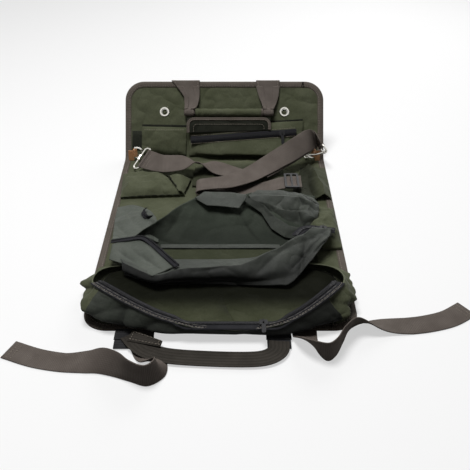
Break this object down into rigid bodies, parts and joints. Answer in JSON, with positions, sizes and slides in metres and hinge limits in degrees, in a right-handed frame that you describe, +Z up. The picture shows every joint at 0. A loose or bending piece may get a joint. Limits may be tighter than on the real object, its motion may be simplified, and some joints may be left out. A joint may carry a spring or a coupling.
{
  "type": "tool roll",
  "caption": "Olive waxed-canvas tool roll, laid open: bellows pockets with zips, a carrying handle at each end, a clip-on shoulder strap and tie straps.",
  "frame": {"origin": "centre of the underside of the middle section", "axes": "+Z up, off the ground the roll lies on; +X across the roll to the right, +Y from the bottom edge towards the top flap"},
  "size_m": [0.6065, 0.6491, 0.1209],
  "materials": {
    "canvas": "waxed, matte",
    "lining": "coated, soft sheen",
    "webbing": "ribbed, matte",
    "black_webbing": "ribbed, matte",
    "zip_tape": "woven, matte",
    "black_metal": "semi-gloss",
    "nickel": "polished",
    "leather": "natural, matte",
    "black_plastic": "moulded, matte"
  },
  "bodies": {
    "middle": {"middle_panel": "canvas", "middle_binding_left": "webbing", "middle_binding_right": "webbing", "middle_pocket_back": "lining", "middle_pocket_side": "canvas", "middle_zip": "zip_tape"},
    "lower": {"lower_panel": "canvas", "lower_binding": "webbing", "main_pocket": "canvas", "middle_pocket_front": "canvas", "main_zip": "zip_tape", "bottom_anchor_left": "black_webbing", "bottom_anchor_right": "black_webbing"},
    "upper": {"upper_panel": "canvas", "upper_binding_left": "webbing", "upper_binding_right": "webbing", "left_pocket": "canvas", "centre_pocket": "canvas", "right_pocket": "canvas", "leather_tab_left": "leather", "leather_tab_right": "leather", "d_ring_left": "nickel", "d_ring_right": "nickel"},
    "flap": {"flap_panel": "canvas", "flap_binding": "webbing", "eyelet_left": "nickel", "eyelet_right": "nickel", "small_pocket": "canvas", "zip_pocket": "canvas", "flap_zip": "zip_tape", "handle_anchor_left": "webbing", "handle_anchor_right": "webbing"},
    "top_handle": {"top_handle": "webbing", "grip_wrap": "lining"},
    "grip_flap": {"grip_flap": "leather"},
    "bottom_handle": {"bottom_handle": "webbing"},
    "tie_left": {"tie_left": "webbing"},
    "tie_right": {"tie_right": "webbing"},
    "strap": {"strap_left_run": "webbing", "strap_right_run": "webbing", "strap_adjuster": "black_plastic", "loop_left": "nickel", "loop_right": "nickel", "hook_left": "nickel", "hook_right": "nickel"},
    "flap_slider": {"flap_slider": "black_metal"},
    "flap_pull": {"flap_pull": "black_metal"},
    "middle_slider": {"middle_slider": "black_metal"},
    "middle_pull": {"middle_pull": "black_metal"},
    "main_slider": {"main_slider": "black_metal"},
    "main_pull": {"main_pull": "black_metal"}
  },
  "joints": [
    {"name": "fold_lower", "type": "hinge", "parent": "middle", "child": "lower", "pos_m": [0, -0.0775, 0.003], "axis": [-1, 0, 0], "range_deg": [0, 80]},
    {"name": "fold_middle", "type": "hinge", "parent": "middle", "child": "upper", "pos_m": [0, 0.0775, 0.003], "axis": [1, 0, 0], "range_deg": [0, 80]},
    {"name": "fold_upper", "type": "hinge", "parent": "upper", "child": "flap", "pos_m": [0, 0.2325, 0.003], "axis": [1, 0, 0], "range_deg": [-56, 14]},
    {"name": "top_handle_swing", "type": "hinge", "parent": "flap", "child": "top_handle", "pos_m": [0, 0.3129, 0.12005], "axis": [1, 0, 0], "range_deg": [-160, 0]},
    {"name": "grip_flap_swing", "type": "hinge", "parent": "top_handle", "child": "grip_flap", "pos_m": [0, 0.26091, 0.07069], "axis": [1, 0, 0], "range_deg": [-120, 0]},
    {"name": "bottom_handle_swing", "type": "hinge", "parent": "lower", "child": "bottom_handle", "pos_m": [0, -0.2576, 0.003], "axis": [1, 0, 0], "range_deg": [-70, 0]},
    {"name": "tie_left_swing", "type": "hinge", "parent": "lower", "child": "tie_left", "pos_m": [-0.07, -0.2336, 0.0011], "axis": [1, 0, 0], "range_deg": [0, 80]},
    {"name": "tie_right_swing", "type": "hinge", "parent": "lower", "child": "tie_right", "pos_m": [0.1125, -0.2336, 0.0011], "axis": [1, 0, 0], "range_deg": [0, 80]},
    {"name": "strap_lift", "type": "hinge", "parent": "upper", "child": "strap", "pos_m": [0, 0.224, 0.01], "axis": [1, 0, 0], "range_deg": [-6, 0]},
    {"name": "flap_zip_slide", "type": "slide", "parent": "flap", "child": "flap_slider", "axis": [0.9972, 0.0419, 0.0621], "range_m": [-0.138, 0.018]},
    {"name": "flap_pull_swing", "type": "hinge", "parent": "flap_slider", "child": "flap_pull", "pos_m": [0.104, 0.24354, 0.04923], "axis": [-0.9972, -0.0419, -0.0621], "range_deg": [0, 150]},
    {"name": "middle_zip_slide", "type": "slide", "parent": "middle", "child": "middle_slider", "axis": [0.9781, -0.2079, 0], "range_m": [-0.006, 0.011]},
    {"name": "middle_pull_swing", "type": "hinge", "parent": "middle_slider", "child": "middle_pull", "pos_m": [0.15, -0.038, 0.0327], "axis": [-0.9781, 0.2079, 0], "range_deg": [0, 150]},
    {"name": "main_zip_slide", "type": "slide", "parent": "lower", "child": "main_slider", "axis": [1, 0, 0], "range_m": [-0.082, 0.004]},
    {"name": "main_pull_swing", "type": "hinge", "parent": "main_slider", "child": "main_pull", "pos_m": [0.055, -0.2405, 0.0236], "axis": [-1, 0, 0], "range_deg": [0, 150]}
  ]
}
